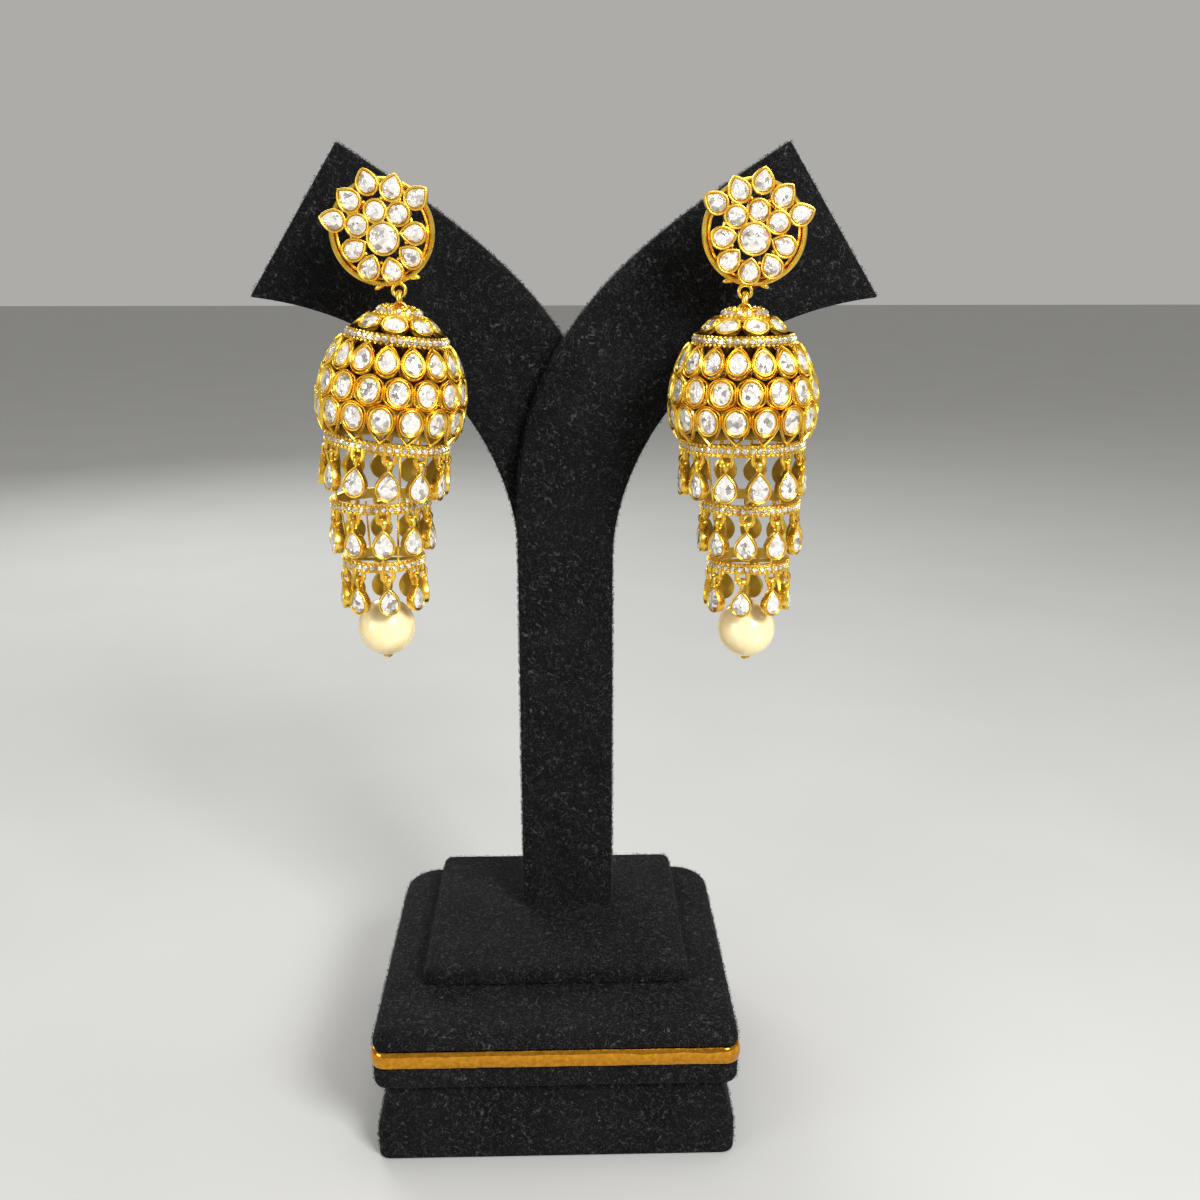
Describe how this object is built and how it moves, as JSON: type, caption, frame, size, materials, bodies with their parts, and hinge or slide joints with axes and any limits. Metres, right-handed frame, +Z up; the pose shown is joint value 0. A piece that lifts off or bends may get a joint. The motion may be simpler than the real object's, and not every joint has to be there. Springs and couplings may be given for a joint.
{
  "type": "jhumka earring pair on display stand",
  "caption": "Pair of gold-tone jhumka drop earrings with domed bells, tiered teardrops and pearls, hung on a velvet Y-shaped display stand with a stepped base.",
  "frame": {"origin": "on the floor, under the middle of the stand's and earrings' bounding box", "axes": "+Z up, the front with the studs' faces looks towards -Y, +X to the viewer's right"},
  "size_m": [0.1084, 0.0624, 0.1695],
  "materials": {
    "velvet": "black short-pile velvet, matt",
    "gold": "satin yellow gold plating with bright edges",
    "trim_gold": "mirror-bright gold foil strip",
    "stone": "flat-cut foil-backed white stone",
    "pearl": "cream imitation pearl, soft lustre"
  },
  "bodies": {
    "display": {"base_plate": "velvet", "base_plinth": "velvet", "base_step": "velvet", "base_trim": "trim_gold", "left_stone_bottom": "stone", "left_stone_centre": "stone", "left_stone_inner_left": "stone", "left_stone_inner_right": "stone", "left_stone_inner_top": "stone", "left_stone_low_left": "stone", "left_stone_low_right": "stone", "left_stone_lower_left": "stone", "left_stone_lower_right": "stone", "left_stone_outer_left": "stone", "left_stone_outer_right": "stone", "left_stone_outer_top": "stone", "left_stone_outer_top_left": "stone", "left_stone_outer_top_right": "stone", "left_stud_frame": "gold", "right_stone_bottom": "stone", "right_stone_centre": "stone", "right_stone_inner_left": "stone", "right_stone_inner_right": "stone", "right_stone_inner_top": "stone", "right_stone_low_left": "stone", "right_stone_low_right": "stone", "right_stone_lower_left": "stone", "right_stone_lower_right": "stone", "right_stone_outer_left": "stone", "right_stone_outer_right": "stone", "right_stone_outer_top": "stone", "right_stone_outer_top_left": "stone", "right_stone_outer_top_right": "stone", "right_stud_frame": "gold", "stand_left_arm": "velvet", "stand_right_arm": "velvet"},
    "left_link": {"left_bail": "gold"},
    "left_drop": {"left_dome": "gold", "left_pearl": "pearl", "left_pearl_pin": "gold", "left_tier_1_drops": "gold", "left_tier_2_drops": "gold", "left_tier_3_drops": "gold"},
    "right_link": {"right_bail": "gold"},
    "right_drop": {"right_dome": "gold", "right_pearl": "pearl", "right_pearl_pin": "gold", "right_tier_1_drops": "gold", "right_tier_2_drops": "gold", "right_tier_3_drops": "gold"}
  },
  "joints": [
    {"name": "left_link_swing", "type": "hinge", "parent": "display", "child": "left_link", "pos_m": [-0.02681, -0.0035, 0.14469], "axis": [-1, 0, 0], "range_deg": [-3, 45]},
    {"name": "left_drop_sway", "type": "hinge", "parent": "left_link", "child": "left_drop", "pos_m": [-0.02681, -0.0035, 0.14278], "axis": [0, 1, 0], "range_deg": [-26, 13]},
    {"name": "right_link_swing", "type": "hinge", "parent": "display", "child": "right_link", "pos_m": [0.02967, -0.0055, 0.14447], "axis": [-1, 0, 0], "range_deg": [0, 45]},
    {"name": "right_drop_sway", "type": "hinge", "parent": "right_link", "child": "right_drop", "pos_m": [0.02967, -0.0055, 0.14256], "axis": [0, 1, 0], "range_deg": [-20, 20]}
  ]
}
